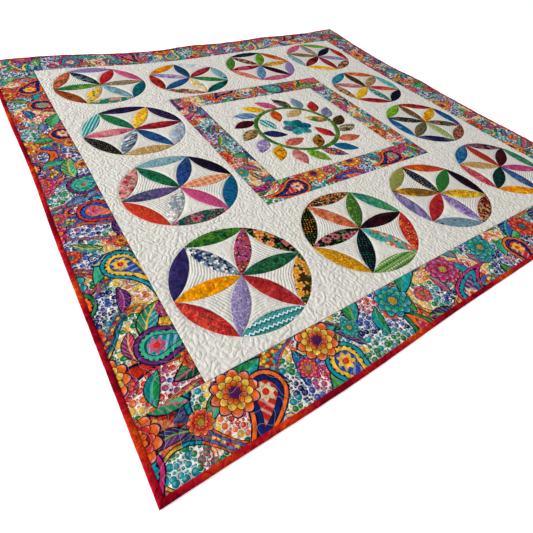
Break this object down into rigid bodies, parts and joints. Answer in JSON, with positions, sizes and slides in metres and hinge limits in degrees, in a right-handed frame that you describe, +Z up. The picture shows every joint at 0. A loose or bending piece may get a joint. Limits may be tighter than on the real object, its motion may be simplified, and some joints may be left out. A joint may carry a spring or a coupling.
{
  "type": "applique quilt",
  "caption": "Square padded quilt lying flat: applique petal wheels round a framed middle square with a leaf wreath, a printed border and a bound edge.",
  "frame": {"origin": "middle of the quilt's footprint, on the surface that it lies on", "axes": "+Z up, out of the pieced face; +X along the near edge to the right; +Y from the near edge to the far edge"},
  "size_m": [1.472, 1.4768, 0.0267],
  "materials": {
    "backing": "plain woven cotton over batting, matt",
    "white_cotton": "plain woven quilting cotton, matt, densely quilted",
    "print_cotton": "printed quilting cotton, matt",
    "binding_batik": "mottled batik cotton, matt",
    "wheel_cottons": "assorted batik and printed cottons, matt",
    "leaf_cottons": "assorted batik and printed cottons, matt",
    "stem_green": "mottled green cotton, matt",
    "flower_teal": "mottled teal cottons, matt"
  },
  "bodies": {
    "root": {"quilt_body": "backing", "background_blocks": "white_cotton", "middle_square": "white_cotton", "frame_near": "print_cotton", "border_near": "print_cotton", "binding_near": "binding_batik", "frame_far": "print_cotton", "border_far": "print_cotton", "binding_far": "binding_batik", "frame_left": "print_cotton", "border_left": "print_cotton", "binding_left": "binding_batik", "frame_right": "print_cotton", "border_right": "print_cotton", "binding_right": "binding_batik", "wheel_near_1": "wheel_cottons", "wheel_near_2": "wheel_cottons", "wheel_near_3": "wheel_cottons", "wheel_near_4": "wheel_cottons", "wheel_left_1": "wheel_cottons", "wheel_left_2": "wheel_cottons", "wheel_right_1": "wheel_cottons", "wheel_right_2": "wheel_cottons", "wheel_far_1": "wheel_cottons", "wheel_far_2": "wheel_cottons", "wheel_far_3": "wheel_cottons", "wheel_far_4": "wheel_cottons", "wreath_stem": "stem_green", "wreath_flower": "flower_teal", "outer_leaf_01": "leaf_cottons", "outer_leaf_02": "leaf_cottons", "outer_leaf_03": "leaf_cottons", "outer_leaf_04": "leaf_cottons", "outer_leaf_05": "leaf_cottons", "outer_leaf_06": "leaf_cottons", "outer_leaf_07": "leaf_cottons", "outer_leaf_08": "leaf_cottons", "outer_leaf_09": "leaf_cottons", "outer_leaf_10": "leaf_cottons", "outer_leaf_11": "leaf_cottons", "outer_leaf_12": "leaf_cottons", "outer_leaf_13": "leaf_cottons", "outer_leaf_14": "leaf_cottons", "outer_leaf_15": "leaf_cottons", "outer_leaf_16": "leaf_cottons", "outer_leaf_17": "leaf_cottons", "outer_leaf_18": "leaf_cottons", "inner_leaf_1": "leaf_cottons", "inner_leaf_2": "leaf_cottons", "inner_leaf_3": "leaf_cottons", "inner_leaf_4": "leaf_cottons", "inner_leaf_5": "leaf_cottons", "inner_leaf_6": "leaf_cottons", "inner_leaf_7": "leaf_cottons", "inner_leaf_8": "leaf_cottons"}
  },
  "joints": []
}
